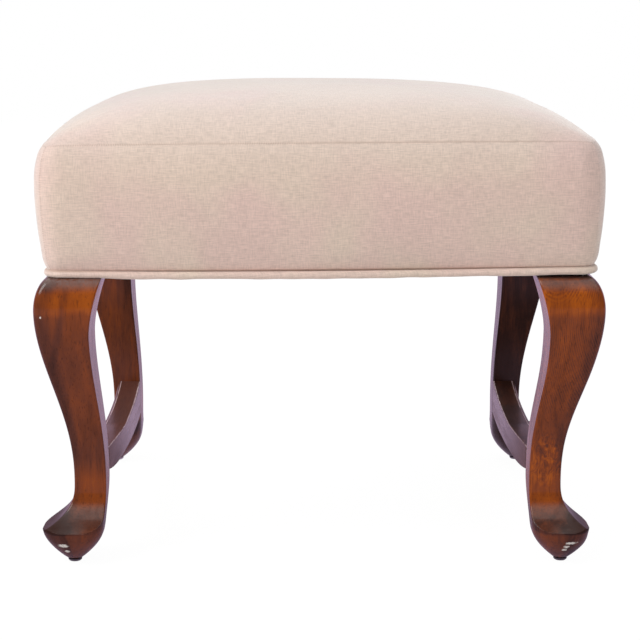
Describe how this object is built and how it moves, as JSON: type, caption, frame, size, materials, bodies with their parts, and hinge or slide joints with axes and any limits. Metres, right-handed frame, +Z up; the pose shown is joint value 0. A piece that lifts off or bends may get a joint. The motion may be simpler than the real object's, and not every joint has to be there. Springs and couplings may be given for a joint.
{
  "type": "upholstered stool",
  "caption": "Rectangular upholstered stool with a crowned linen seat and self welt, on sawn cabriole legs with pad feet and dipped side stretchers.",
  "frame": {"origin": "on the floor under the middle of the seat", "axes": "+X to the right along the long side, +Y to the back along the short side, +Z up"},
  "size_m": [0.562, 0.445, 0.4805],
  "materials": {
    "mahogany": "glossy dark red-brown polish over figured wood",
    "linen": "fine plain weave, pale pinkish beige",
    "welt_linen": "the same cloth rolled over a cord",
    "beech": "sawn and planed, unfinished",
    "dowel_wood": "turned, unfinished",
    "steel": "plain zinc-plated steel",
    "jute": "coarse plain weave webbing",
    "hessian": "open plain weave sacking",
    "foam": "open-cell foam",
    "fibre": "bonded fibre wadding",
    "cambric": "thin dark grey cloth"
  },
  "bodies": {
    "root": {"leg_front_left": "mahogany", "leg_front_right": "mahogany", "leg_rear_left": "mahogany", "leg_rear_right": "mahogany", "stretcher_left": "mahogany", "stretcher_right": "mahogany", "stretcher_dowel_front_left": "dowel_wood", "stretcher_dowel_front_right": "dowel_wood", "stretcher_dowel_rear_left": "dowel_wood", "stretcher_dowel_rear_right": "dowel_wood", "glide_front_left": "steel", "glide_front_right": "steel", "glide_rear_left": "steel", "glide_rear_right": "steel", "rail_front": "beech", "rail_rear": "beech", "rail_left": "beech", "rail_right": "beech", "corner_block_front_left": "beech", "corner_block_front_right": "beech", "corner_block_rear_left": "beech", "corner_block_rear_right": "beech", "block_screw_front_left_long": "steel", "block_screw_front_left_side": "steel", "block_screw_front_right_long": "steel", "block_screw_front_right_side": "steel", "block_screw_rear_left_long": "steel", "block_screw_rear_left_side": "steel", "block_screw_rear_right_long": "steel", "block_screw_rear_right_side": "steel", "webbing_cross_1": "jute", "webbing_cross_2": "jute", "webbing_cross_3": "jute", "webbing_cross_4": "jute", "webbing_length_1": "jute", "webbing_length_2": "jute", "webbing_length_3": "jute", "hessian": "hessian", "foam_pad": "foam", "wadding": "fibre", "cover_top": "linen", "cover_front": "linen", "cover_rear": "linen", "cover_left": "linen", "cover_right": "linen", "welt": "welt_linen", "dust_cover": "cambric"}
  },
  "joints": []
}
